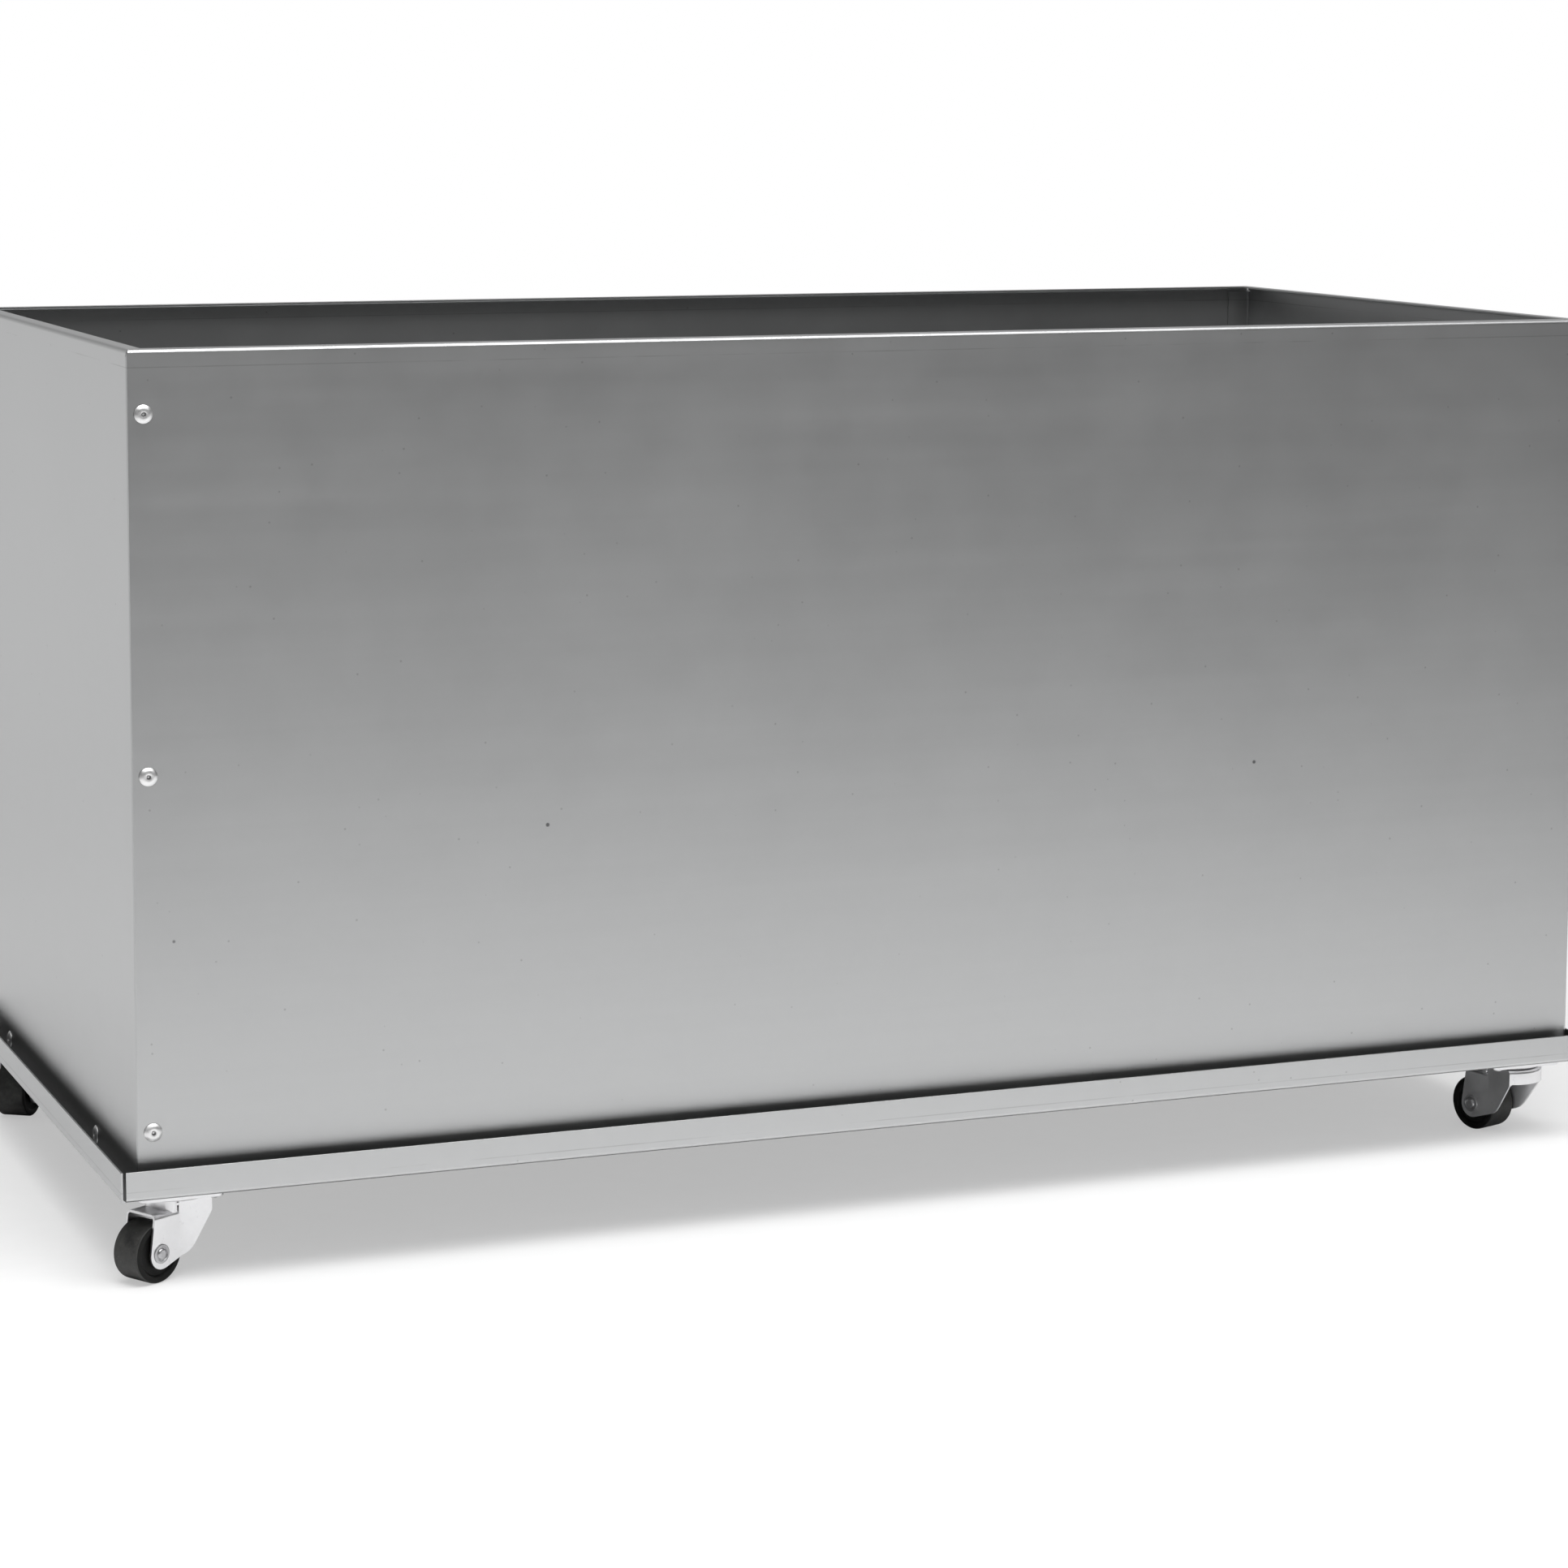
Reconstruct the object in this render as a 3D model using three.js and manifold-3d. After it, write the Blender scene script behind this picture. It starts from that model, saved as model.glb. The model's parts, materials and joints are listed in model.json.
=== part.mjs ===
// A rolling planter of galvanised sheet steel: a folded and riveted box that stands in a shallow
// tray with an upturned lip, on four swivel casters. Millimetres, +Z up. The origin is on the
// ground under the middle of the tray, +X runs along the box and the front faces -Y.

import * as THREE from "three";
import { mergeVertices } from "three/addons/utils/BufferGeometryUtils.js";
import Module from "manifold-3d";

// ---------------------------------------------------------------------------------------------
// Driving dimensions
// ---------------------------------------------------------------------------------------------

const FIT = 0.25; // clearance between pieces that seat on each other
const SHEET = 1.0; // sheet thickness of the box and the tray
const BEND = 2.2; // outer radius of the folds in that sheet

const BOX_LENGTH = 810;
const BOX_WIDTH = 390;
const BOX_HEIGHT = 412;
const RIM_WIDTH = 8.5; // flange folded inwards round the top edge
const MITRE_GAP = 0.3; // between the rim's mitred ends
const CORNER_FLANGE = 15; // flange of one side sheet behind the other
const CORNER_NOTCH = 2.0; // from a riveted corner to the start of the rim over that flange

const FLOOR_DEPTH = 12; // height of the inverted pan that makes the floor
const FLOOR_LIP_SETBACK = 3.5; // the floor's end lips stop short of the corners
const DRAIN_DIAMETER = 5.5;
const DRAIN_COLUMNS = 5;
const DRAIN_ROWS = 2;
const DRAIN_PITCH_X = 150;
const DRAIN_PITCH_Y = 180;

const TRAY_GAP = 10; // between the box and the tray's lip, at the front and on the left
const TRAY_SEAT_GAP = 2; // and at the back and on the right, as near as the rivet heads let it
const TRAY_LIP = 15; // height of the lip, from the tray's underside

const RIVET_DIAMETER = 4.8; // blind rivets in the box
const RIVET_HEAD_DIAMETER = 9.2;
const RIVET_HEAD_HEIGHT = 1.35;
const RIVET_HEAD_EDGE = 0.45;
const RIVET_CROWN_DIAMETER = 5.6;
const RIVET_BULB_DIAMETER = 6.8;
const RIVET_BULB_LENGTH = 3.2;
const RIVET_MANDREL_HOLE = 2.4;
const CORNER_RIVETS = 3;
const CORNER_RIVET_TOP = 31; // the uppermost rivet, below the rim
const CORNER_RIVET_BOTTOM = 29.8; // the lowest rivet, above the sheet's lower edge
const CORNER_RIVET_INSET = 7.6; // from the corner
const FLOOR_RIVET_HEIGHT = 6.6; // above the lower edge of an end wall
const FLOOR_RIVET_NEAR = 95; // from the riveted corner of an end wall
const FLOOR_RIVET_FAR = 71; // from its folded corner

const WHEEL_DIAMETER = 30;
const WHEEL_WIDTH = 17;
const TREAD_ROUNDING = 1.0;
const WHEEL_RECESS = 1.2; // depth of the sunk face of a wheel
const WHEEL_RING = 3.4; // width of the raised ring round that face
const HUB_DIAMETER = 9.2;
const HUB_PROUD = 0.1; // the hub stands out past the ring
const AXLE_DIAMETER = 4;
const AXLE_HEAD_DIAMETER = 9.6;
const AXLE_HEAD_HEIGHT = 0.4;
const AXLE_BOSS_DIAMETER = 5.4;
const AXLE_BOSS_HEIGHT = 0.6;

const TRAIL = 17.5; // from the swivel axis to the axle
const FORK_SHEET = 1.2;
const FORK_BEND = 2.8;
const TYRE_CLEARANCE = 3.7; // between a wheel and the web over it
const HEAD_RISE = 4.9; // the fork's round head above the web
const HEAD_RADIUS = 19;
const HEAD_SHOULDER = 2; // rounding of the head's edge
const HEAD_SKIRT = 8; // depth of the head's wall at the nose
const HEAD_FLARE_ANGLE = 134; // where the walls leave the head's round, from the trailing side
const SEAT_RADIUS = 13.5; // round ball seat of the head over the web
const TRACK_DEPTH = 1.6; // the balls run in a sunk track inside that seat
const LEG_END_RADIUS = 7.3; // rounded lower end of a leg
const LEG_END_SET = 0.5; // that round's centre below the axle and in front of it
const LEG_TOP_REACH = 3; // a leg's rear edge behind the axle, at the top
const LEG_FLAT = 13; // flat stretch of a leg in front of the axle
const LEG_HEEL = 19; // from the axle to the heel of a leg's lower edge
const LEG_SLOPE = 19; // degrees, the lower edge from its round end to the heel
const NOSE_SLOPE = 57; // degrees, the edge from the heel up to the nose

const BALL_DIAMETER = 3.3;
const BALL_TRACK_RADIUS = 10;
const DISH_SETBACK = 2.5; // from the plate's edge to the pressed ring under it
const DISH_WALL = 3.5;
const DISH_GAP = 0.5; // running gap between that ring and the fork's head
const DISH_CHAMFER = 0.8;
const KINGPIN_DIAMETER = 6;
const KINGPIN_HEAD_DIAMETER = 10;
const KINGPIN_HEAD_HEIGHT = 1.5;

const PLATE_SIZE = 42;
const PLATE_THICKNESS = 2;
const PLATE_CORNER = 4;
const PLATE_HOLE_INSET = 4.5; // the two rivets stand on a diagonal of the plate
const PLATE_RIVET_DIAMETER = 4;
const PLATE_RIVET_SINK = 0.8; // their heads widen by this much to lie flush in the tray's floor
const PLATE_RIVET_TAIL = 6.4;
const PLATE_RIVET_TAIL_HEIGHT = 1.2;

const CASTER_INSET_X = 31.5; // from the tray's outer face to a swivel axis
const CASTER_INSET_Y = 26;

const BEND_STEPS = 4; // facets of a fold
const ROUND = 24; // facets of a wheel and of a fork's head
const SMALL_ROUND = 10; // facets of pins, of rivets and of their holes
const BEAD_ROUND = 6; // facets across a row of balls

// Where each caster stands, and the way its wheel trails, in degrees from +X.
const CASTERS = [
  { place: "front_left", side: -1, face: -1, heading: -150 },
  { place: "front_right", side: 1, face: -1, heading: 108 },
  { place: "back_left", side: -1, face: 1, heading: -124 },
  { place: "back_right", side: 1, face: 1, heading: -158 },
];

// ---------------------------------------------------------------------------------------------
// Sizes that follow from them
// ---------------------------------------------------------------------------------------------

const wheelRadius = WHEEL_DIAMETER / 2;
const webUnder = WHEEL_DIAMETER + TYRE_CLEARANCE;
const webTop = webUnder + FORK_SHEET;
const headTop = webTop + HEAD_RISE;
const headUnder = headTop - FORK_SHEET;
const trackTop = headTop - TRACK_DEPTH;
const trackUnder = trackTop - FORK_SHEET;
const plateUnder = trackTop + FIT + BALL_DIAMETER + FIT;
const plateTop = plateUnder + PLATE_THICKNESS;
const legInner = WHEEL_WIDTH / 2 + HUB_PROUD + FIT;
const legOuter = legInner + FORK_SHEET;

const trayUnder = plateTop + FIT;
const trayFloor = trayUnder + SHEET;
const trayLength = BOX_LENGTH + TRAY_GAP + TRAY_SEAT_GAP + 2 * SHEET;
const trayWidth = BOX_WIDTH + TRAY_GAP + TRAY_SEAT_GAP + 2 * SHEET;

const boxOffset = (TRAY_GAP - TRAY_SEAT_GAP) / 2; // from the tray's middle, to the right and back
const boxBottom = trayFloor + FIT;
const boxTop = boxBottom + BOX_HEIGHT;
const halfLength = BOX_LENGTH / 2;
const halfWidth = BOX_WIDTH / 2;
const flangePlane = halfWidth - SHEET - FIT; // outer face of the flanges at the riveted corners

const floorLength = 2 * (halfLength - SHEET - FIT);
const floorWidth = 2 * (flangePlane - SHEET - FIT);
const floorRivetZ = boxBottom + FLOOR_RIVET_HEIGHT;
const floorRivetYs = [FLOOR_RIVET_NEAR - halfWidth, halfWidth - FLOOR_RIVET_FAR]; // on the left
const cornerRivetX = halfLength - CORNER_RIVET_INSET;
const cornerRivetPitch = (BOX_HEIGHT - CORNER_RIVET_TOP - CORNER_RIVET_BOTTOM) / (CORNER_RIVETS - 1);
const cornerRivetZs = Array.from(
  { length: CORNER_RIVETS },
  (_, i) => boxTop - CORNER_RIVET_TOP - i * cornerRivetPitch,
);
const rivetHole = RIVET_DIAMETER / 2 + FIT;
const rivetGrip = SHEET + FIT + SHEET;
const dishRadius = PLATE_SIZE / 2 - DISH_SETBACK;

// ---------------------------------------------------------------------------------------------
// Solids, sections and cuts
// ---------------------------------------------------------------------------------------------

const X = new THREE.Vector3(1, 0, 0);
const Y = new THREE.Vector3(0, 1, 0);
const Z = new THREE.Vector3(0, 0, 1);

const wasm = await Module();
wasm.setup();

// A closed geometry as a solid that can be joined and cut.
function solid(geometry) {
  const bare = new THREE.BufferGeometry().setAttribute("position", geometry.getAttribute("position"));
  bare.setIndex(geometry.index);
  const merged = mergeVertices(bare, 1e-4);
  const index = merged.index.array;
  const kept = [];
  for (let i = 0; i < index.length; i += 3) {
    const [a, b, c] = [index[i], index[i + 1], index[i + 2]];
    if (a !== b && b !== c && c !== a) kept.push(a, b, c);
  }
  const vertProperties = merged.attributes.position.array;
  return new wasm.Manifold(new wasm.Mesh({ numProp: 3, vertProperties, triVerts: new Uint32Array(kept) }));
}

function geometryOf(manifold) {
  const mesh = manifold.getMesh();
  const geometry = new THREE.BufferGeometry();
  geometry.setAttribute("position", new THREE.BufferAttribute(new Float32Array(mesh.vertProperties), 3));
  geometry.setIndex(new THREE.BufferAttribute(new Uint32Array(mesh.triVerts), 1));
  return geometry;
}

function joined(geometries) {
  return geometries.map(solid).reduce((whole, piece) => whole.add(piece));
}

function cut(whole, cutters) {
  return cutters.reduce((rest, tool) => rest.subtract(tool), whole);
}

function extruded(points, length) {
  return new THREE.ExtrudeGeometry(new THREE.Shape(points), { depth: length, bevelEnabled: false });
}

// An outline in (y, z), drawn along X from one place to another.
function alongX(points, from, to) {
  return extruded(points, to - from)
    .applyMatrix4(new THREE.Matrix4().makeBasis(Y, Z, X))
    .translate(from, 0, 0);
}

// An outline in (x, z), drawn along Y from one place to another.
function alongY(points, from, to) {
  return extruded(points, to - from)
    .applyMatrix4(new THREE.Matrix4().makeBasis(X, Z, Y.clone().negate()))
    .translate(0, to, 0);
}

// An outline in (x, y), drawn along Z from one height to another.
function alongZ(points, from, to) {
  return extruded(points, to - from).translate(0, 0, from);
}

function block(from, to) {
  const size = to.map((high, i) => high - from[i]);
  return new THREE.BoxGeometry(...size).translate(...from.map((low, i) => low + size[i] / 2));
}

// A profile of (radius, height) turned about Z.
function turned(profile, facets) {
  const points = profile.map(([radius, height]) => new THREE.Vector2(radius, height));
  return new THREE.LatheGeometry(points, facets).rotateX(Math.PI / 2);
}

function cutter(radius, length, axis, place) {
  const rod = new THREE.CylinderGeometry(radius, radius, length, SMALL_ROUND);
  rod.applyQuaternion(new THREE.Quaternion().setFromUnitVectors(Y, axis));
  return solid(rod.translate(...place));
}

function polar(radius, degrees) {
  const angle = THREE.MathUtils.degToRad(degrees);
  return new THREE.Vector2(radius * Math.cos(angle), radius * Math.sin(angle));
}

function arc(centre, radius, from, to, steps) {
  return Array.from({ length: steps + 1 }, (_, i) => polar(radius, from + ((to - from) * i) / steps).add(centre));
}

function mirrored(points) {
  return points.map((p) => new THREE.Vector2(-p.x, p.y));
}

// The section of a folded sheet. The corners follow its outer face with the sheet on their left,
// and each fold turns left by a right angle.
function foldedSection(corners, sheet, radius) {
  const face = corners.map(([a, b]) => new THREE.Vector2(a, b));
  const outer = [face[0]];
  const inner = [];
  for (let i = 1; i < face.length; i++) {
    const ahead = face[i].clone().sub(face[i - 1]).normalize();
    const left = new THREE.Vector2(-ahead.y, ahead.x);
    if (i === 1) inner.push(face[0].clone().addScaledVector(left, sheet));
    if (i === face.length - 1) {
      outer.push(face[i]);
      inner.push(face[i].clone().addScaledVector(left, sheet));
    } else {
      const centre = face[i].clone().addScaledVector(ahead, -radius).addScaledVector(left, radius);
      const start = THREE.MathUtils.radToDeg(Math.atan2(-left.y, -left.x));
      outer.push(...arc(centre, radius, start, start + 90, BEND_STEPS));
      inner.push(...arc(centre, radius - sheet, start, start + 90, BEND_STEPS));
    }
  }
  return [...outer, ...inner.reverse()].filter((p, i, all) => p.distanceTo(all.at(i - 1)) > 1e-4);
}

const finishes = {
  galvanised: { color: 0xb4b6b8, roughness: 0.42, metalness: 0.85 },
  rivet: { color: 0xd4d6d8, roughness: 0.28, metalness: 0.9 },
  zinc: { color: 0xc9ccd0, roughness: 0.3, metalness: 0.9 },
  moulding: { color: 0x1a1b1c, roughness: 0.6, metalness: 0.0 },
};

function add(parent, name, geometry, finish) {
  const mesh = new THREE.Mesh(geometry, new THREE.MeshStandardMaterial(finishes[finish]));
  mesh.name = name;
  parent.add(mesh);
}

// ---------------------------------------------------------------------------------------------
// The box
// ---------------------------------------------------------------------------------------------

// What lies past the mitre line of a riveted corner, at the height of the rim: beyond the end of
// the rim that runs along X, or beyond the end of the one that runs along Y.
function mitreWedge(side, face, runsAlongX) {
  const reach = 4 * RIM_WIDTH;
  const offset = MITRE_GAP / Math.SQRT2;
  const near = [offset - reach, -reach];
  const far = [offset + reach, reach];
  const apex = [offset - reach, reach];
  const outline = [near, far, apex].map(([first, second]) => {
    const [along, across] = runsAlongX ? [first, second] : [second, first];
    return new THREE.Vector2(side * (halfLength - along), face * (halfWidth - across));
  });
  return solid(alongZ(outline, boxTop - BEND, boxTop + BEND));
}

// The open mitre of the rim over a folded corner.
function mitreSlit() {
  const reach = 2 * RIM_WIDTH;
  const slit = new THREE.BoxGeometry(2 * reach, MITRE_GAP, 2 * BEND);
  return solid(slit.rotateZ(-Math.PI / 4).translate(halfLength, -halfWidth, boxTop));
}

// The front wall and the right end wall are one sheet, folded at the corner between them. It lies
// over a flange of the other side sheet at the front left, and has its own flange at the back
// right. The other sheet is the same, turned by half a circle.
function sideSheet() {
  const wallTop = boxTop - BEND - SHEET;
  const plan = [
    [-halfLength, -halfWidth],
    [halfLength, -halfWidth],
    [halfLength, flangePlane],
    [halfLength - CORNER_FLANGE, flangePlane],
  ];
  const rim = (half, low) => {
    const corners = [
      [-half + RIM_WIDTH, boxTop],
      [-half, boxTop],
      [-half, low],
    ];
    return foldedSection(corners, SHEET, BEND);
  };
  const whole = joined([
    alongZ(foldedSection(plan, SHEET, BEND), boxBottom, wallTop),
    alongX(rim(halfWidth, wallTop - BEND), -halfLength, halfLength - BEND),
    alongY(mirrored(rim(halfLength, wallTop - BEND)), BEND - halfWidth, flangePlane - BEND),
    alongY(mirrored(rim(halfLength, wallTop + FIT)), 0, halfWidth - CORNER_NOTCH),
  ]);
  const cutters = cornerRivetZs.flatMap((z) => [
    cutter(rivetHole, 4 * SHEET, Y, [-cornerRivetX, -halfWidth, z]),
    cutter(rivetHole, 4 * SHEET, Y, [cornerRivetX, flangePlane, z]),
  ]);
  const floorHoles = floorRivetYs.map((y) => cutter(rivetHole, 4 * SHEET, X, [halfLength, -y, floorRivetZ]));
  const mitres = [mitreWedge(-1, -1, true), mitreSlit(), mitreWedge(1, 1, false)];
  return geometryOf(cut(whole, [...cutters, ...floorHoles, ...mitres]));
}

// A shallow pan with its outer face at zero and its lips rising from it. The end lips run on past
// the floor at the corners, and leave an open seam to the long lips.
function foldedPan(length, width, height, endSetback) {
  const lip = (half, inset) => {
    const corners = [
      [-half, height],
      [-half, 0],
      [-half + inset, 0],
    ];
    return foldedSection(corners, SHEET, BEND);
  };
  const overlap = BEND + SHEET;
  const flatX = length / 2 - BEND;
  const flatY = width / 2 - BEND;
  const longHalf = flatX - FIT;
  const endHalf = width / 2 - endSetback;
  const seatedHalf = Math.min(flatY, endHalf);
  return joined([
    block([-flatX, -flatY, 0], [flatX, flatY, SHEET]),
    alongX(lip(width / 2, overlap), -longHalf, longHalf),
    alongX(mirrored(lip(width / 2, overlap)), -longHalf, longHalf),
    alongY(lip(length / 2, overlap), -seatedHalf, seatedHalf),
    alongY(mirrored(lip(length / 2, overlap)), -seatedHalf, seatedHalf),
    alongY(lip(length / 2, BEND), -endHalf, endHalf),
    alongY(mirrored(lip(length / 2, BEND)), -endHalf, endHalf),
  ]);
}

// The floor is a pan upside down, riveted to the end walls through its lips.
function floorPlate() {
  const geometry = geometryOf(foldedPan(floorLength, floorWidth, FLOOR_DEPTH, FLOOR_LIP_SETBACK));
  const whole = solid(geometry.rotateX(Math.PI).translate(0, 0, boxBottom + FLOOR_DEPTH));
  const rivetHoles = [-1, 1].flatMap((side) =>
    floorRivetYs.map((y) => cutter(rivetHole, 4 * SHEET, X, [(side * floorLength) / 2, -side * y, floorRivetZ])),
  );
  const drains = [];
  for (let i = 0; i < DRAIN_COLUMNS; i++) {
    for (let j = 0; j < DRAIN_ROWS; j++) {
      const x = (i - (DRAIN_COLUMNS - 1) / 2) * DRAIN_PITCH_X;
      const y = (j - (DRAIN_ROWS - 1) / 2) * DRAIN_PITCH_Y;
      drains.push(cutter(DRAIN_DIAMETER / 2, 4 * SHEET, Z, [x, y, boxBottom + FLOOR_DEPTH]));
    }
  }
  return geometryOf(cut(whole, [...rivetHoles, ...drains]));
}

// A blind rivet with its head outwards along an axis, set at a place on the outer face.
function blindRivet(axis, place) {
  const shank = RIVET_DIAMETER / 2;
  const head = RIVET_HEAD_DIAMETER / 2;
  const bulb = RIVET_BULB_DIAMETER / 2;
  const hole = RIVET_MANDREL_HOLE / 2;
  const tail = -rivetGrip - FIT;
  const profile = [
    [0, tail - RIVET_BULB_LENGTH],
    [0.7 * bulb, tail - RIVET_BULB_LENGTH],
    [bulb, tail - RIVET_BULB_LENGTH / 2],
    [bulb, tail],
    [shank, tail],
    [shank, FIT],
    [head, FIT],
    [head, FIT + RIVET_HEAD_EDGE],
    [RIVET_CROWN_DIAMETER / 2, FIT + RIVET_HEAD_HEIGHT],
    [hole, FIT + RIVET_HEAD_HEIGHT],
    [hole, 0],
    [0, 0],
  ];
  const rivet = turned(profile, SMALL_ROUND);
  rivet.applyQuaternion(new THREE.Quaternion().setFromUnitVectors(Z, axis));
  return rivet.translate(...place);
}

// A rivet at the front left corner, or at the back right one.
function cornerRivet(face, z) {
  return blindRivet(Y.clone().multiplyScalar(face), [face * cornerRivetX, face * halfWidth, z]);
}

function floorRivet(side, y) {
  return blindRivet(X.clone().multiplyScalar(side), [side * halfLength, y, floorRivetZ]);
}

// ---------------------------------------------------------------------------------------------
// The tray
// ---------------------------------------------------------------------------------------------

function casterX(caster) {
  return caster.side * (trayLength / 2 - CASTER_INSET_X);
}

function casterY(caster) {
  return caster.face * (trayWidth / 2 - CASTER_INSET_Y);
}

// The rivet places of a caster's top plate about its swivel axis: one towards the tray's end and
// one towards its long edge.
function platePlaces(caster) {
  const half = PLATE_SIZE / 2 - PLATE_HOLE_INSET;
  return [
    { edge: "end", x: caster.side * half, y: -caster.face * half },
    { edge: "long", x: -caster.side * half, y: caster.face * half },
  ];
}

// A hole that widens through the tray's floor, for a flush rivet head.
function sunkHole(x, y) {
  const radius = PLATE_RIVET_DIAMETER / 2 + FIT;
  const below = trayUnder - SHEET;
  const above = trayFloor + SHEET;
  const profile = [
    [0, below],
    [radius, below],
    [radius, trayUnder],
    [radius + PLATE_RIVET_SINK, trayFloor],
    [radius + PLATE_RIVET_SINK, above],
    [0, above],
  ];
  return solid(turned(profile, SMALL_ROUND).translate(x, y, 0));
}

function trayPan() {
  const geometry = geometryOf(foldedPan(trayLength, trayWidth, TRAY_LIP, FIT));
  const whole = solid(geometry.translate(0, 0, trayUnder));
  const holes = CASTERS.flatMap((caster) =>
    platePlaces(caster).map(({ x, y }) => sunkHole(casterX(caster) + x, casterY(caster) + y)),
  );
  return geometryOf(cut(whole, holes));
}

// ---------------------------------------------------------------------------------------------
// A caster, about its swivel axis with the ground at zero and the wheel trailing along +X
// ---------------------------------------------------------------------------------------------

function topPlate(caster) {
  const half = PLATE_SIZE / 2;
  const straight = half - PLATE_CORNER;
  const outline = [0, 90, 180, 270].flatMap((start) => {
    const centre = polar(straight * Math.SQRT2, start + 45);
    return arc(centre, PLATE_CORNER, start, start + 90, BEND_STEPS);
  });
  const inner = dishRadius - DISH_WALL;
  const lower = headTop + DISH_GAP;
  const dish = [
    [inner, lower],
    [dishRadius - DISH_CHAMFER, lower],
    [dishRadius, lower + DISH_CHAMFER],
    [dishRadius, plateUnder + PLATE_THICKNESS / 2],
    [inner, plateUnder + PLATE_THICKNESS / 2],
    [inner, lower],
  ];
  const hole = KINGPIN_DIAMETER / 2 + FIT;
  const sink = KINGPIN_HEAD_DIAMETER / 2 + FIT;
  const sinkStart = plateTop - KINGPIN_HEAD_HEIGHT;
  const kingpinHole = [
    [0, plateUnder - PLATE_THICKNESS],
    [hole, plateUnder - PLATE_THICKNESS],
    [hole, sinkStart],
    [sink, plateTop],
    [sink, plateTop + PLATE_THICKNESS],
    [0, plateTop + PLATE_THICKNESS],
  ];
  const plate = joined([alongZ(outline, plateUnder, plateTop), turned(dish, ROUND)]);
  const radius = PLATE_RIVET_DIAMETER / 2 + FIT;
  const holes = platePlaces(caster).map(({ x, y }) => cutter(radius, 4 * PLATE_THICKNESS, Z, [x, y, plateTop]));
  return geometryOf(cut(plate, [...holes, solid(turned(kingpinHole, SMALL_ROUND))]));
}

function plateRivet({ x, y }) {
  const shank = PLATE_RIVET_DIAMETER / 2;
  const bottom = plateUnder - FIT;
  const profile = [
    [0, bottom - PLATE_RIVET_TAIL_HEIGHT],
    [0.8 * shank, bottom - PLATE_RIVET_TAIL_HEIGHT],
    [PLATE_RIVET_TAIL / 2, bottom],
    [shank, bottom],
    [shank, trayUnder],
    [shank + PLATE_RIVET_SINK, trayFloor],
    [0, trayFloor],
  ];
  return turned(profile, SMALL_ROUND).translate(x, y, 0);
}

// The row of balls that the fork turns on, as the ring that the balls fill.
function ballRow() {
  const row = new THREE.TorusGeometry(BALL_TRACK_RADIUS, BALL_DIAMETER / 2, BEAD_ROUND, ROUND);
  return row.translate(0, 0, trackTop + FIT + BALL_DIAMETER / 2);
}

// The rivet on which the fork swivels, sunk flush into the top plate.
function kingpin() {
  const shaft = KINGPIN_DIAMETER / 2;
  const head = KINGPIN_HEAD_DIAMETER / 2;
  const lower = trackUnder - FIT;
  const profile = [
    [0, lower - KINGPIN_HEAD_HEIGHT],
    [0.7 * head, lower - KINGPIN_HEAD_HEIGHT],
    [head, lower - KINGPIN_HEAD_HEIGHT / 3],
    [head, lower],
    [shaft, lower],
    [shaft, plateTop - KINGPIN_HEAD_HEIGHT],
    [head, plateTop],
    [0, plateTop],
  ];
  return turned(profile, SMALL_ROUND);
}

// The outline of the fork seen from the side, in (x, z).
function forkSideOutline() {
  const top = headTop + FORK_SHEET;
  const rear = TRAIL + LEG_TOP_REACH;
  const skirt = headTop - HEAD_SKIRT;
  const centre = new THREE.Vector2(TRAIL - LEG_END_SET, wheelRadius - LEG_END_SET);
  const end = arc(centre, LEG_END_RADIUS, 8, -90 - LEG_SLOPE, 8);
  const foot = end.at(-1);
  const slope = Math.tan(THREE.MathUtils.degToRad(LEG_SLOPE));
  const heelX = TRAIL - LEG_HEEL;
  const heel = new THREE.Vector2(heelX, foot.y + (foot.x - heelX) * slope);
  const steep = Math.tan(THREE.MathUtils.degToRad(NOSE_SLOPE));
  const nose = new THREE.Vector2(heelX - (skirt - heel.y) / steep, skirt);
  const softening = new THREE.QuadraticBezierCurve(foot.clone().lerp(heel, 0.8), heel, heel.clone().lerp(nose, 0.2));
  const front = -2 * HEAD_RADIUS;
  return [
    new THREE.Vector2(rear, top),
    ...end,
    ...softening.getPoints(3),
    nose,
    new THREE.Vector2(front, skirt),
    new THREE.Vector2(front, top),
  ];
}

// The round head: a ball track sunk inside a raised ring, and from the ring a rounded shoulder
// and a wall down to the lower end of the nose.
function forkHead() {
  const inside = HEAD_RADIUS - FORK_SHEET;
  const track = SEAT_RADIUS - FORK_SHEET;
  const shoulder = new THREE.Vector2(HEAD_RADIUS - HEAD_SHOULDER, headTop - HEAD_SHOULDER);
  const profile = [
    [0, trackUnder],
    [SEAT_RADIUS, trackUnder],
    [SEAT_RADIUS, headUnder],
    ...arc(shoulder, HEAD_SHOULDER - FORK_SHEET, 90, 0, 2).map((p) => [p.x, p.y]),
    [inside, 0],
    [HEAD_RADIUS, 0],
    ...arc(shoulder, HEAD_SHOULDER, 0, 90, 3).map((p) => [p.x, p.y]),
    [track, headTop],
    [track, trackTop],
    [0, trackTop],
  ];
  return turned(profile, ROUND);
}

// The same track where it lies over the web, with a round step down to the web.
function forkSeat() {
  const track = SEAT_RADIUS - FORK_SHEET;
  const profile = [
    [0, trackUnder],
    [track, trackUnder],
    [track, webUnder],
    [SEAT_RADIUS, webUnder],
    [SEAT_RADIUS, headTop],
    [track, headTop],
    [track, trackTop],
    [0, trackTop],
  ];
  return turned(profile, ROUND);
}

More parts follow.
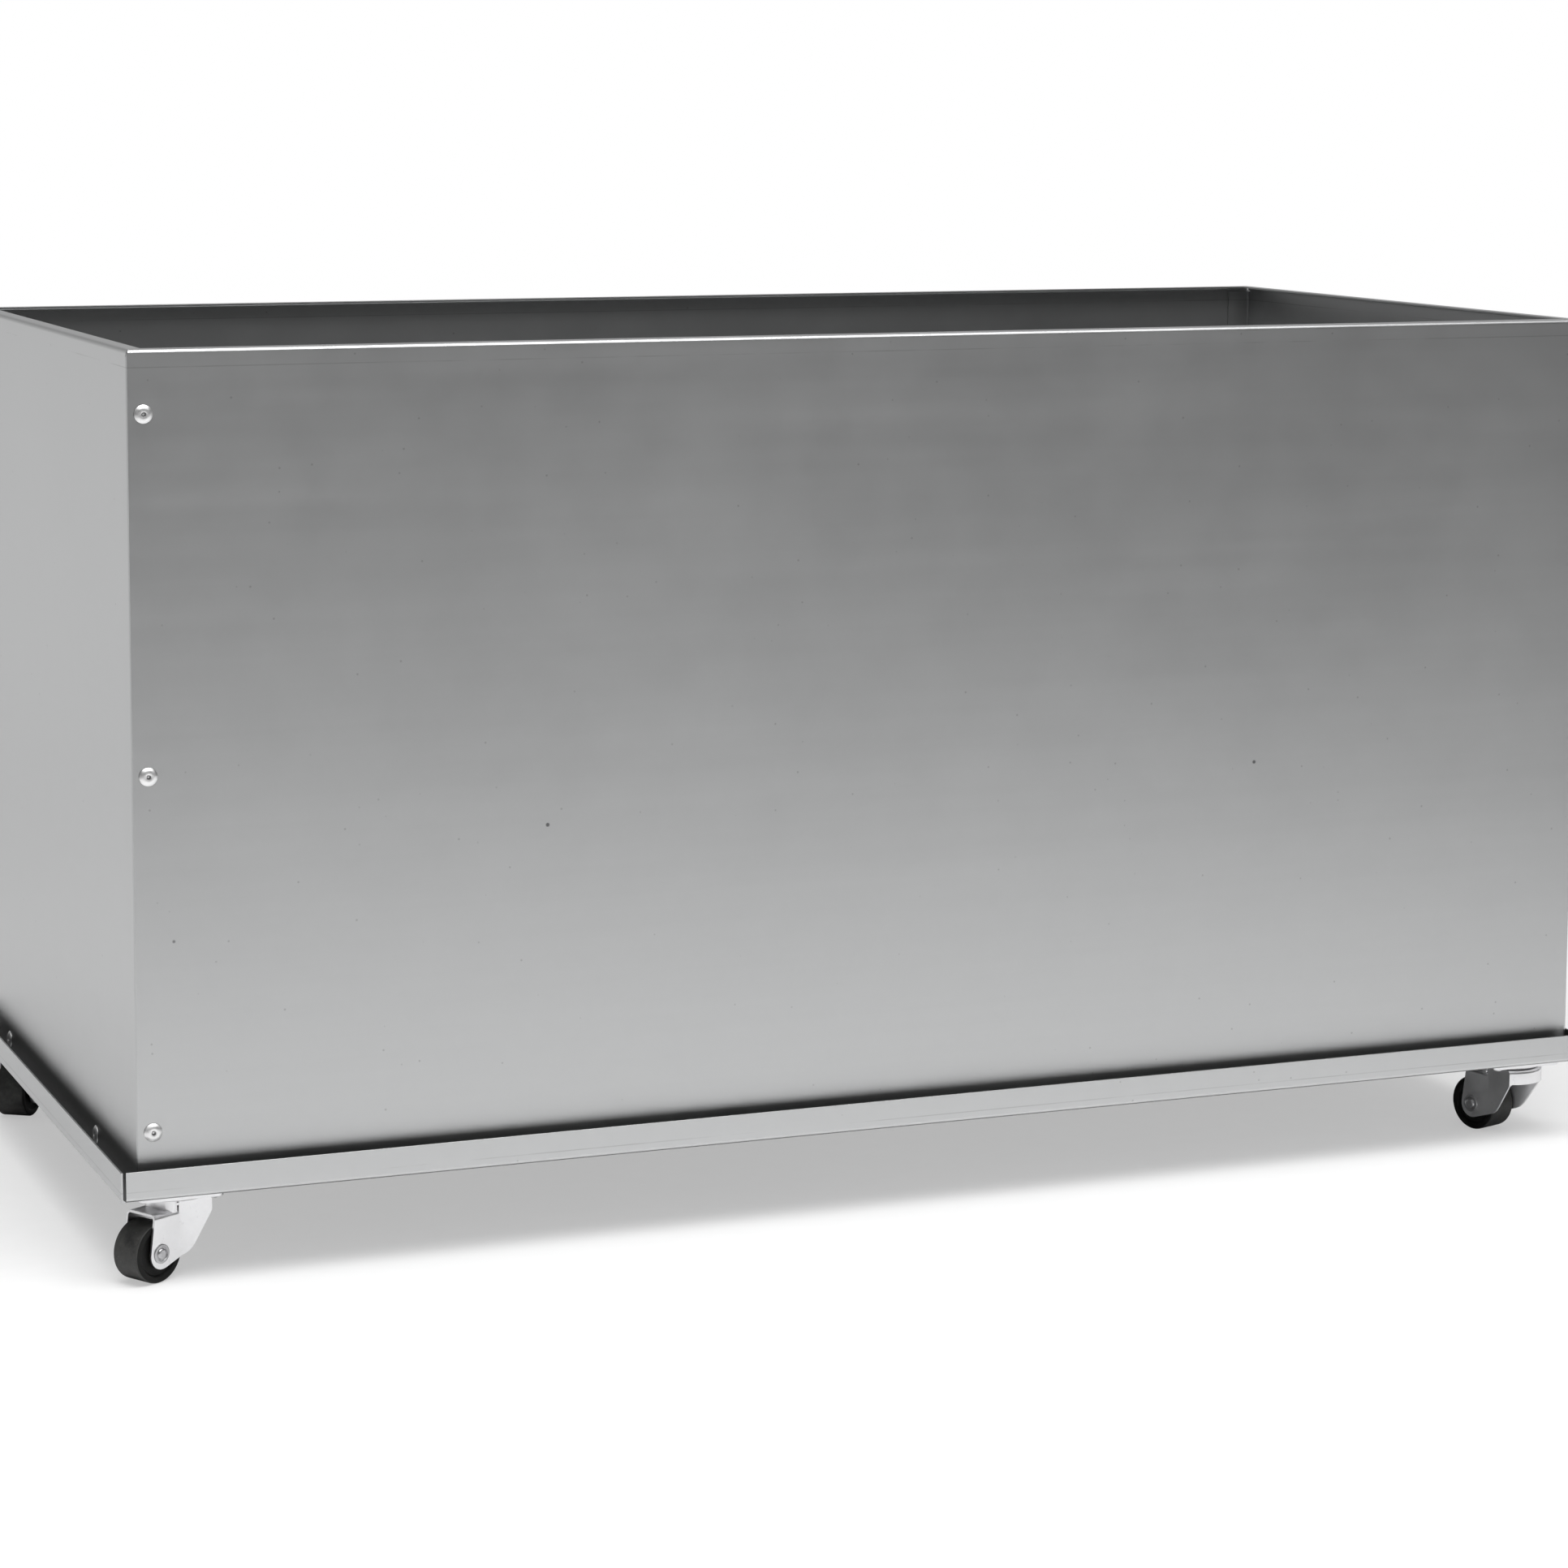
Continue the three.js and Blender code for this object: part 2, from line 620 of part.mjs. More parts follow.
// The web and the two flat legs, with the web open under the ball track.
function forkChannel(from, to) {
  const section = [
    [legOuter, 0],
    [legOuter, webTop],
    [-legOuter, webTop],
    [-legOuter, 0],
  ];
  const well = [
    [0, webUnder - FORK_SHEET],
    [SEAT_RADIUS - FORK_SHEET / 2, webUnder - FORK_SHEET],
    [SEAT_RADIUS - FORK_SHEET / 2, trackUnder],
    [0, trackUnder],
  ];
  const whole = solid(alongX(foldedSection(section, FORK_SHEET, FORK_BEND), from, to));
  const opening = solid(turned(well, ROUND)).intersect(solid(block([-to, -legInner, 0], [to, legInner, plateTop])));
  return whole.subtract(opening);
}

// The fork is pressed from one sheet: a round head over a web, with two legs that open out to the
// wall of the head.
function fork() {
  const flat = TRAIL - LEG_FLAT;
  const rear = TRAIL + 2 * LEG_END_RADIUS;
  const legStart = new THREE.Vector2(flat, legOuter);
  const leave = polar(HEAD_RADIUS, HEAD_FLARE_ANGLE);
  const past = polar(2 * HEAD_RADIUS, HEAD_FLARE_ANGLE);
  const otherSide = (points) => points.map((p) => new THREE.Vector2(p.x, -p.y));
  const half = [legStart, leave, past, new THREE.Vector2(-2 * HEAD_RADIUS, past.y)];
  const plan = [...half, ...otherSide(half).reverse()];
  const inwards = leave.clone().sub(legStart).normalize().rotateAround(new THREE.Vector2(), Math.PI / 2);
  const wall = [
    new THREE.Vector2(flat + FORK_SHEET, legOuter),
    legStart,
    leave,
    leave.clone().addScaledVector(inwards, FORK_SHEET),
    new THREE.Vector2(flat, legInner),
    new THREE.Vector2(flat + FORK_SHEET, legInner),
  ];
  const overWeb = solid(block([flat, -legInner - FORK_SHEET, 0], [rear, legInner + FORK_SHEET, plateTop]));
  const whole = solid(forkHead())
    .intersect(solid(alongZ(plan, 0, plateTop)))
    .add(solid(forkSeat()).intersect(overWeb))
    .add(forkChannel(flat, rear))
    .add(solid(alongZ(wall, 0, headUnder)))
    .add(solid(alongZ(otherSide(wall), 0, headUnder)))
    .intersect(solid(alongY(forkSideOutline(), -2 * HEAD_RADIUS, 2 * HEAD_RADIUS)));
  const kingpinHole = cutter(KINGPIN_DIAMETER / 2 + FIT, 4 * FORK_SHEET, Z, [0, 0, trackTop]);
  const axleHole = cutter(AXLE_DIAMETER / 2 + FIT, 4 * legOuter, Y, [TRAIL, 0, wheelRadius]);
  return geometryOf(cut(whole, [kingpinHole, axleHole]));
}

// A closed ring or pin that is the same on both sides of its middle: the profile of its far half,
// from the middle outwards, is repeated on the near side.
function turnedBothWays(half, facets) {
  const near = half.map(([radius, height]) => [radius, -height]).reverse();
  return turned([...near, ...half], facets).rotateX(Math.PI / 2);
}

function axle() {
  const shaft = AXLE_DIAMETER / 2;
  const seat = legOuter + FIT;
  const outer = seat + AXLE_HEAD_HEIGHT;
  const half = [
    [shaft, seat],
    [AXLE_HEAD_DIAMETER / 2, seat],
    [AXLE_HEAD_DIAMETER / 2, outer],
    [AXLE_BOSS_DIAMETER / 2, outer],
    [0.8 * (AXLE_BOSS_DIAMETER / 2), outer + AXLE_BOSS_HEIGHT],
    [0, outer + AXLE_BOSS_HEIGHT],
  ];
  return turnedBothWays(half, SMALL_ROUND).translate(TRAIL, 0, wheelRadius);
}

function wheel() {
  const half = WHEEL_WIDTH / 2;
  const bore = AXLE_DIAMETER / 2 + FIT;
  const hub = HUB_DIAMETER / 2;
  const ring = wheelRadius - WHEEL_RING;
  const sunk = half - WHEEL_RECESS;
  const profile = [
    [wheelRadius, half - TREAD_ROUNDING],
    [wheelRadius - TREAD_ROUNDING, half],
    [ring, half],
    [ring - WHEEL_RECESS / 2, sunk],
    [hub, sunk],
    [hub, half + HUB_PROUD],
    [bore, half + HUB_PROUD],
  ];
  const near = profile.map(([radius, height]) => [radius, -height]).reverse();
  const closed = turned([...near, ...profile, near[0]], ROUND).rotateX(Math.PI / 2);
  return closed.translate(TRAIL, 0, wheelRadius);
}

// ---------------------------------------------------------------------------------------------
// Assembly
// ---------------------------------------------------------------------------------------------

const planter = new THREE.Group();

add(planter, "base_tray", trayPan(), "galvanised");

const box = new THREE.Group();
box.position.set(boxOffset, boxOffset, 0);
planter.add(box);
add(box, "front_and_right_sheet", sideSheet(), "galvanised");
add(box, "back_and_left_sheet", sideSheet().rotateZ(Math.PI), "galvanised");
add(box, "floor_plate", floorPlate(), "galvanised");

cornerRivetZs.forEach((z, i) => {
  add(box, `front_left_corner_rivet_${i + 1}`, cornerRivet(-1, z), "rivet");
  add(box, `back_right_corner_rivet_${i + 1}`, cornerRivet(1, z), "rivet");
});
for (const side of [-1, 1]) {
  for (const y of floorRivetYs) {
    const name = `${y < 0 === side < 0 ? "front" : "back"}_${side < 0 ? "left" : "right"}_floor_rivet`;
    add(box, name, floorRivet(side, -side * y), "rivet");
  }
}

for (const caster of CASTERS) {
  const fixed = new THREE.Group();
  fixed.position.set(casterX(caster), casterY(caster), 0);
  planter.add(fixed);
  add(fixed, `${caster.place}_top_plate`, topPlate(caster), "zinc");
  for (const place of platePlaces(caster)) {
    add(fixed, `${caster.place}_${place.edge}_plate_rivet`, plateRivet(place), "rivet");
  }
  add(fixed, `${caster.place}_kingpin`, kingpin(), "zinc");

  const swivel = new THREE.Group();
  swivel.rotation.z = THREE.MathUtils.degToRad(caster.heading);
  fixed.add(swivel);
  add(swivel, `${caster.place}_ball_row`, ballRow(), "zinc");
  add(swivel, `${caster.place}_fork`, fork(), "zinc");
  add(swivel, `${caster.place}_axle`, axle(), "zinc");
  add(swivel, `${caster.place}_wheel`, wheel(), "moulding");
}

export default planter;
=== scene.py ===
"""Looks of the rolling planter: galvanised sheet box and tray, zinc casters, black wheels."""

import json
import math

import bmesh
import bpy
from mathutils import Matrix, Vector


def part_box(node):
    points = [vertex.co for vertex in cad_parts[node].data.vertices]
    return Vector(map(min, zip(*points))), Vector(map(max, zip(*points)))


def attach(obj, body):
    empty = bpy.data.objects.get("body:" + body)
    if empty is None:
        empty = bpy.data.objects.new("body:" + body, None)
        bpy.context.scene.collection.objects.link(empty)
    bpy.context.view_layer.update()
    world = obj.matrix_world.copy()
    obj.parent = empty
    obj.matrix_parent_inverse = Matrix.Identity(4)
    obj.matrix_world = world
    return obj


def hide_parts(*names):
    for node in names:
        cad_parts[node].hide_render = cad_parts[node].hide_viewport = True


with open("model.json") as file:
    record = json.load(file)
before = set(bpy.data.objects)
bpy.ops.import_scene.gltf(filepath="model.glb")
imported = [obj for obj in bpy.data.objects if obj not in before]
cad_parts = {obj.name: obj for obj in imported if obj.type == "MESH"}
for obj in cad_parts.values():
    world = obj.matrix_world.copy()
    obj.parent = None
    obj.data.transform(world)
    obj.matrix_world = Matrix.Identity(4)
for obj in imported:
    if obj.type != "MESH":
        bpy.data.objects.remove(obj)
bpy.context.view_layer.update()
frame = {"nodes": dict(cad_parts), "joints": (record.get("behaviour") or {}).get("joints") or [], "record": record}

MM = 0.001

# Camera, solved from the photo's edges.
CAMERA_PLACE = Vector((-0.8318, -2.1223, 0.5853))
CAMERA_YAW = 21.693  # degrees from +Y towards +X
CAMERA_DIP = 6.486
CAMERA_ROLL = 0.204
CAMERA_LENS = 94.26
CAMERA_SENSOR = 36.0
CAMERA_SHIFT_Y = -0.15
CAMERA_RANGE = (0.05, 50)

# The CAD's own shapes: vertices and flat faces are joined, and the edges of the sheets and of the
# caster parts are eased. Angles in degrees.
JOIN_DISTANCE = 0.002 * MM
FLAT_ANGLE = 1.0
SHEET_EDGE = 0.22 * MM
CASTER_EDGE = 0.25 * MM
EDGE_ANGLE = 32

# Blind rivets. Radii, and heights and depths from the sheet's face.
RIVET_HEAD = 4.6 * MM
RIVET_CROWN = 2.7 * MM
RIVET_SEAT = 0.25 * MM
RIVET_EDGE = 0.35 * MM
RIVET_HEIGHT = 1.6 * MM
RIVET_HOLE = 1.15 * MM
RIVET_HOLE_DEPTH = 1.2 * MM
RIVET_SHANK = 2.4 * MM
RIVET_BULB = 3.3 * MM
RIVET_BULB_TOP = 2.5 * MM
RIVET_TAIL = 5.9 * MM

# Wheels. The skin is how deep the tread's dusty surface reaches.
WHEEL_HALF_WIDTH = 8.5 * MM
WHEEL_ROUNDING = 1.1 * MM
WHEEL_RING = 3.4 * MM
WHEEL_RECESS = 1.2 * MM
HUB_RADIUS = 4.6 * MM
BORE_RADIUS = 2.2 * MM
TREAD_SKIN = 0.4 * MM

# Axles. The head's face lies this far from the middle; the rest are radii, heights and a depth.
AXLE_FACE = 10.6 * MM
AXLE_SHAFT = 2.0 * MM
AXLE_HEAD = 4.8 * MM
AXLE_HEAD_HEIGHT = 0.4 * MM
AXLE_RING = 3.7 * MM
AXLE_GROOVE_OUTER = 3.4 * MM
AXLE_GROOVE_INNER = 2.9 * MM
AXLE_GROOVE_DEPTH = 0.38 * MM
AXLE_BOSS = 2.6 * MM
AXLE_BOSS_HEIGHT = 0.6 * MM

# Balls of a swivel race, a little larger than the CAD ring is high, with air between them.
BALL_OVERSIZE = 1.05
BALL_SPACING = 1.04

# Nodes with a duller plating than the rest of their slot.
PINS = ("_axle", "_kingpin")

# Marks on the sheet: two die lines, and painted shade in the trough inside the tray's lip.
TRAY_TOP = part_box("base_tray")[1]
TOP_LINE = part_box("front_and_right_sheet")[1].z - 8.7 * MM
LIP_LINE = TRAY_TOP.z - 10 * MM
LINE_WIDTH = 0.4 * MM
LINE_CORE = 0.1 * MM
LINE_STRENGTH = 0.3
TROUGH_X = TRAY_TOP.x - 0.5 * MM
TROUGH_Y = TRAY_TOP.y - 0.5 * MM
TROUGH_SHADE_FADE = 1.5 * MM
TROUGH_SHADE_STRENGTH = 0.55

# The floor: half its side, where it fades into the background, and the share of plain white in what
# the camera sees of it.
FLOOR_HALF = 3.0
FLOOR_FADE = (0.95, 1.9)
FLOOR_WHITE = 0.45

# The room's tone by height of direction: -1 straight down, 0 level, 1 straight up.
ROOM_TONES = [(-1.0, 0.5), (-0.06, 0.5), (0.02, 0.08), (0.35, 0.1), (0.8, 0.9), (1.0, 1.0)]
ROOM_STRENGTH = 0.55

# What the floor and backdrop behind the planter add to that tone: in full from BACKDROP_BACK of
# the way to straight behind, up to BACKDROP_TOP, and in full below the share BACKDROP_FULL of it.
BACKDROP_TONE = 1.0
BACKDROP_BACK = 0.6
BACKDROP_TOP = 0.36
BACKDROP_FULL = 0.6

# The softbox over the planter.
LAMP_PLACE = Vector((0.0, -1.2, 3.0))
LAMP_TARGET = Vector((0.2, -0.9, 0))
LAMP_SIZE = (3.0, 1.8)
LAMP_POWER = 108


# ------------------------------------------------------------------------------------------
# Materials
# ------------------------------------------------------------------------------------------


class Nodes:
    """A node tree of a material or a world, with short calls for the nodes used here."""

    def __init__(self, owner, coordinate="Object"):
        owner.use_nodes = True
        self.owner = owner
        self.tree = owner.node_tree
        self.shader = self.tree.nodes.get("Principled BSDF")
        self.place = self.tree.nodes.new("ShaderNodeTexCoord").outputs[coordinate]
        self.split = None

    def link(self, a, b):
        self.tree.links.new(a, b)

    def along(self, axis):
        if self.split is None:
            self.split = self.tree.nodes.new("ShaderNodeSeparateXYZ")
            self.link(self.place, self.split.inputs["Vector"])
        return self.split.outputs[axis]

    def stretched(self, scale):
        node = self.tree.nodes.new("ShaderNodeMapping")
        node.inputs["Scale"].default_value = scale
        self.link(self.place, node.inputs["Vector"])
        return node.outputs["Vector"]

    def noise(self, scale, detail, rough, where=None):
        node = self.tree.nodes.new("ShaderNodeTexNoise")
        node.inputs["Scale"].default_value = scale
        node.inputs["Detail"].default_value = detail
        node.inputs["Roughness"].default_value = rough
        self.link(where or self.place, node.inputs["Vector"])
        return node.outputs["Fac"]

    def cells(self, scale):
        node = self.tree.nodes.new("ShaderNodeTexVoronoi")
        node.inputs["Scale"].default_value = scale
        self.link(self.place, node.inputs["Vector"])
        return node.outputs["Distance"], node.outputs["Color"]

    def spread(self, value, low, high, to_low=0.0, to_high=1.0):
        node = self.tree.nodes.new("ShaderNodeMapRange")
        self.link(value, node.inputs["Value"])
        node.inputs["From Min"].default_value = low
        node.inputs["From Max"].default_value = high
        node.inputs["To Min"].default_value = to_low
        node.inputs["To Max"].default_value = to_high
        return node.outputs["Result"]

    def math(self, operation, a, b=0.0):
        node = self.tree.nodes.new("ShaderNodeMath")
        node.operation = operation
        for socket, value in zip(node.inputs, (a, b)):
            if isinstance(value, (int, float)):
                socket.default_value = value
            else:
                self.link(value, socket)
        return node.outputs[0]

    def times(self, a, b):
        return self.math("MULTIPLY", a, b)

    def mix(self, factor, a, b):
        node = self.tree.nodes.new("ShaderNodeMix")
        node.data_type = "RGBA"
        self.link(factor, node.inputs["Factor"])
        for socket, value in ((node.inputs["A"], a), (node.inputs["B"], b)):
            if isinstance(value, tuple):
                socket.default_value = (*value, 1.0)
            else:
                self.link(value, socket)
        return node.outputs["Result"]

    def blend(self, factor, first, second):
        node = self.tree.nodes.new("ShaderNodeMixShader")
        self.link(factor, node.inputs["Fac"])
        self.link(first, node.inputs[1])
        self.link(second, node.inputs[2])
        return node.outputs["Shader"]

    def to_camera(self):
        return self.tree.nodes.new("ShaderNodeLightPath").outputs["Is Camera Ray"]

    def bump(self, height, distance, strength, after=None):
        node = self.tree.nodes.new("ShaderNodeBump")
        node.inputs["Strength"].default_value = strength
        node.inputs["Distance"].default_value = distance
        self.link(height, node.inputs["Height"])
        if after is not None:
            self.link(after, node.inputs["Normal"])
        return node.outputs["Normal"]

    def set(self, **values):
        for name, value in values.items():
            socket = self.shader.inputs[name.replace("_", " ")]
            if isinstance(value, (int, float)):
                socket.default_value = value
            else:
                self.link(value, socket)


def material(name):
    return Nodes(bpy.data.materials.new(name))


def grey(tone, blue=0.0):
    """A grey with a little more or less blue."""
    return (tone, tone, tone + blue)


def beside(n, axis, reach):
    """1 where the place lies within a reach of the middle plane across an axis."""
    return n.math("LESS_THAN", n.math("ABSOLUTE", n.along(axis)), reach)


def die_line(n, height):
    """A faint broken line that the brake's die left along a sheet, parallel to its fold."""
    off = n.math("ABSOLUTE", n.math("SUBTRACT", n.along("Z"), height))
    line = n.spread(off, LINE_CORE, LINE_WIDTH, 1.0, 0.0)
    broken = n.spread(n.noise(9.0, 4.0, 0.7), 0.42, 0.56)
    return n.times(n.times(line, broken), LINE_STRENGTH)


def trough_shade(n):
    """Painted shade in the trough between the box and the tray's lip, below the lip's top edge."""
    inside = n.times(beside(n, "X", TROUGH_X), beside(n, "Y", TROUGH_Y))
    low = n.spread(n.along("Z"), TRAY_TOP.z - TROUGH_SHADE_FADE, TRAY_TOP.z + TROUGH_SHADE_FADE, 1.0, 0.0)
    return n.times(n.times(inside, low), TROUGH_SHADE_STRENGTH)


def specks(n, scale, chosen, size, strength):
    """Small round marks in a few cells of a pattern; chosen and size are (from, to) ranges."""
    distance, random = n.cells(scale)
    return n.times(n.spread(random, *chosen), n.spread(distance, *size, strength, 0.0))


def galvanised():
    """Bare zinc-coated sheet: cloudy, with faint level streaks, fine grain, a few specks and die lines, and
    painted shade in the tray's trough.
    """
    n = material("galvanised")
    cloud = n.spread(n.noise(5.0, 5.0, 0.6), 0.3, 0.7)
    mottle = n.spread(n.noise(38.0, 4.0, 0.6), 0.3, 0.7)
    streak = n.spread(n.noise(1.0, 5.0, 0.6, n.stretched((2.2, 2.2, 70.0))), 0.3, 0.7)
    tone = n.math("ADD", n.times(cloud, 0.45), n.times(mottle, 0.25))
    tone = n.math("ADD", tone, n.times(streak, 0.30))
    colour = n.mix(tone, (0.525, 0.53, 0.533), (0.585, 0.59, 0.593))
    colour = n.mix(specks(n, 17.0, (0.62, 0.66), (0.012, 0.022), 1.0), colour, grey(0.16, 0.005))
    colour = n.mix(specks(n, 95.0, (0.7, 0.74), (0.03, 0.07), 0.4), colour, grey(0.2, 0.005))
    for height in (TOP_LINE, LIP_LINE):
        colour = n.mix(die_line(n, height), colour, grey(0.2))
    # Painted shade: the sheet is darkened in the trough inside the tray's lip.
    colour = n.mix(trough_shade(n), colour, grey(0.14))
    roughness = n.spread(tone, 0.1, 0.9, 0.35, 0.42)
    ripple = n.bump(n.noise(3.2, 2.0, 0.4), 0.6 * MM, 0.5)
    grain = n.bump(n.noise(900.0, 3.0, 0.6), 0.02 * MM, 0.35, ripple)
    n.set(Base_Color=colour, Metallic=1.0, Roughness=roughness, Normal=grain)
    return n.owner


def zinc(name, dull, bright):
    """Zinc plate on pressed steel, between two greys."""
    n = material(name)
    tone = n.spread(n.noise(90.0, 4.0, 0.6), 0.3, 0.7)
    stain = n.spread(n.noise(260.0, 3.0, 0.6), 0.64, 0.8)
    colour = n.mix(tone, grey(dull, 0.01), grey(bright, 0.01))
    colour = n.mix(stain, colour, grey(0.75 * dull, 0.01 * dull))
    roughness = n.spread(tone, 0.0, 1.0, 0.3, 0.4)
    grain = n.bump(n.noise(700.0, 3.0, 0.6), 0.012 * MM, 0.3)
    n.set(Base_Color=colour, Metallic=1.0, Roughness=roughness, Normal=grain)
    return n.owner


def rivet():
    """Drawn aluminium with a slight orange peel."""
    n = material("rivet")
    tone = n.spread(n.noise(420.0, 4.0, 0.6), 0.3, 0.7)
    colour = n.mix(tone, grey(0.84), grey(0.93))
    roughness = n.spread(tone, 0.0, 1.0, 0.36, 0.5)
    grain = n.bump(n.noise(1500.0, 2.0, 0.5), 0.02 * MM, 0.4)
    n.set(Base_Color=colour, Metallic=1.0, Roughness=roughness, Normal=grain)
    return n.owner


def moulding(name, clean, dusty, gloss):
    """Black moulded plastic, greyed by dust and scuffs."""
    n = material(name)
    dust = n.spread(n.noise(160.0, 5.0, 0.65), 0.35, 0.7)
    scuff = n.spread(n.noise(700.0, 3.0, 0.7), 0.64, 0.74)
    colour = n.mix(dust, grey(clean), grey(dusty, -0.06 * dusty))
    colour = n.mix(scuff, colour, (1.6 * dusty, 1.58 * dusty, 1.5 * dusty))
    roughness = n.spread(dust, 0.0, 1.0, 0.42, 0.62)
    grain = n.bump(n.noise(1100.0, 3.0, 0.6), 0.03 * MM, 0.5)
    n.set(Base_Color=colour, Roughness=roughness, Normal=grain, Specular_IOR_Level=gloss)
    return n.owner


MATERIALS = {
    "galvanised": galvanised(),
    "zinc": zinc("zinc", 0.78, 0.87),
    "pin": zinc("pin", 0.42, 0.56),
    "rivet": rivet(),
    "moulding": moulding("moulding", 0.004, 0.010, 0.2),
    "tread": moulding("tread", 0.025, 0.065, 0.3),
}
SLOTS = {part["node"]: part["material_slot"] for part in frame["record"]["subparts"]}
BODIES = {
    node: body for body, nodes in frame["record"]["behaviour"]["bodies"].items() for node in nodes
}


# ------------------------------------------------------------------------------------------
# Pieces
# ------------------------------------------------------------------------------------------


def finished(mesh, node, bevel=0.0):
    """A piece that stands for a CAD node, with its material, on the node's body."""
    piece = bpy.data.objects.new("fine_" + node, mesh)
    bpy.context.scene.collection.objects.link(piece)
    mesh.materials.append(MATERIALS["pin" if node.endswith(PINS) else SLOTS[node]])
    mesh.polygons.foreach_set("use_smooth", [True] * len(mesh.polygons))
    if bevel:
        edges = piece.modifiers.new("edges", "BEVEL")
        edges.width = bevel
        edges.segments = 2
        edges.limit_method = "ANGLE"
        edges.angle_limit = math.radians(EDGE_ANGLE)
    normals = piece.modifiers.new("normals", "WEIGHTED_NORMAL")
    normals.weight = 100
    normals.keep_sharp = True
    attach(piece, BODIES[node])
    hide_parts(node)
    return piece


def meshed(form, node):
    """A mesh for a node's piece from a form, which is freed."""
    mesh = bpy.data.meshes.new("fine_" + node)
    form.to_mesh(mesh)
    form.free()
    return mesh


def middle(node):
    """The middle of a CAD node's box."""
    low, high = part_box(node)
    return (low + high) / 2


def half_height(node):
    """Half the height of a CAD node's box."""
    low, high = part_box(node)
    return (high.z - low.z) / 2


def eased(node, bevel):
    """The CAD node's own shape with its flat faces joined, its edges eased and its folds smooth."""
    form = bmesh.new()
    form.from_mesh(frame["nodes"][node].data)
    bmesh.ops.remove_doubles(form, verts=form.verts, dist=JOIN_DISTANCE)
    bmesh.ops.dissolve_limit(
        form,
        angle_limit=math.radians(FLAT_ANGLE),
        use_dissolve_boundaries=False,
        verts=form.verts,
        edges=form.edges,
    )
    bmesh.ops.recalc_face_normals(form, faces=form.faces)
    return finished(meshed(form, node), node, bevel)


def circle(form, radius, height, steps):
    """The vertices of one ring of a turned form, or the one vertex on its axis."""
    if radius == 0:
        return [form.verts.new((0, 0, height))]
    angles = (2 * math.pi * i / steps for i in range(steps))
    return [form.verts.new((radius * math.cos(a), radius * math.sin(a), height)) for a in angles]


def turned(node, profile, centre, axis, steps, sharp):
    """A profile of (radius, height) turned about an axis through a centre. It starts and ends on
    the axis or runs round closed. Edges over so many degrees stay sharp."""
    form = bmesh.new()
    closed = profile[0] == profile[-1]
    points = profile[:-1] if closed else profile
    rings = [circle(form, radius, height, steps) for radius, height in points]
    pairs = list(zip(rings, rings[1:]))
    if closed:
        pairs.append((rings[-1], rings[0]))
    for low, high in pairs:
        for i in range(steps):
            j = (i + 1) % steps
            corners = [low[i % len(low)], low[j % len(low)], high[j % len(high)], high[i % len(high)]]
            unique = list(dict.fromkeys(corners))
            if len(unique) > 2:
                form.faces.new(unique)
    bmesh.ops.recalc_face_normals(form, faces=form.faces)
    for edge in form.edges:
        if len(edge.link_faces) == 2 and edge.calc_face_angle() > math.radians(sharp):
            edge.smooth = False
    turn = Vector((0, 0, 1)).rotation_difference(axis).to_matrix().to_4x4()
    form.transform(Matrix.Translation(centre) @ turn)
    return finished(meshed(form, node), node)


def rounded(start, end, centre, radius, steps):
    """Points of an arc from one angle to another, in degrees, as (radius, height)."""
    turn = (math.radians(start + (end - start) * i / steps) for i in range(steps + 1))
    return [(centre[0] + radius * math.cos(a), centre[1] + radius * math.sin(a)) for a in turn]


def mirrored(half):
    """A whole profile from its half above height 0."""
    return [(radius, -height) for radius, height in reversed(half)] + half


def blind_rivet(node, axis):
    """A domed head with the broken mandrel in its hole, and the bulb behind the sheets."""
    low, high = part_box(node)
    outermost = max(low.dot(axis), high.dot(axis))
    centre = middle(node)
    centre += axis * (outermost - RIVET_HEIGHT - centre.dot(axis))
    tail = [
        (0, -RIVET_TAIL),
        (0.6 * RIVET_BULB, 0.1 * MM - RIVET_TAIL),
        (0.95 * RIVET_BULB, 1.0 * MM - RIVET_TAIL),
        (RIVET_BULB, 2.0 * MM - RIVET_TAIL),
        (0.9 * RIVET_BULB, -RIVET_BULB_TOP - 0.1 * MM),
        (RIVET_SHANK, -RIVET_BULB_TOP),
        (RIVET_SHANK, RIVET_SEAT),
    ]
    head = [
        (RIVET_HEAD, RIVET_SEAT),
        (RIVET_HEAD, RIVET_EDGE),
        (RIVET_HEAD - 0.25 * MM, RIVET_EDGE + 0.22 * MM),
        (0.78 * RIVET_HEAD, 0.72 * RIVET_HEIGHT),
        (RIVET_CROWN, 0.97 * RIVET_HEIGHT),
        (RIVET_HOLE + 0.3 * MM, RIVET_HEIGHT),
        (RIVET_HOLE, 0.93 * RIVET_HEIGHT),
        (RIVET_HOLE, -RIVET_HOLE_DEPTH),
        (0.62 * RIVET_HOLE, -RIVET_HOLE_DEPTH),
        (0.42 * RIVET_HOLE, 0.35 * MM),
        (0, 0.45 * MM),
    ]
    return turned(node, tail + head, centre, axis, steps=40, sharp=50.0)


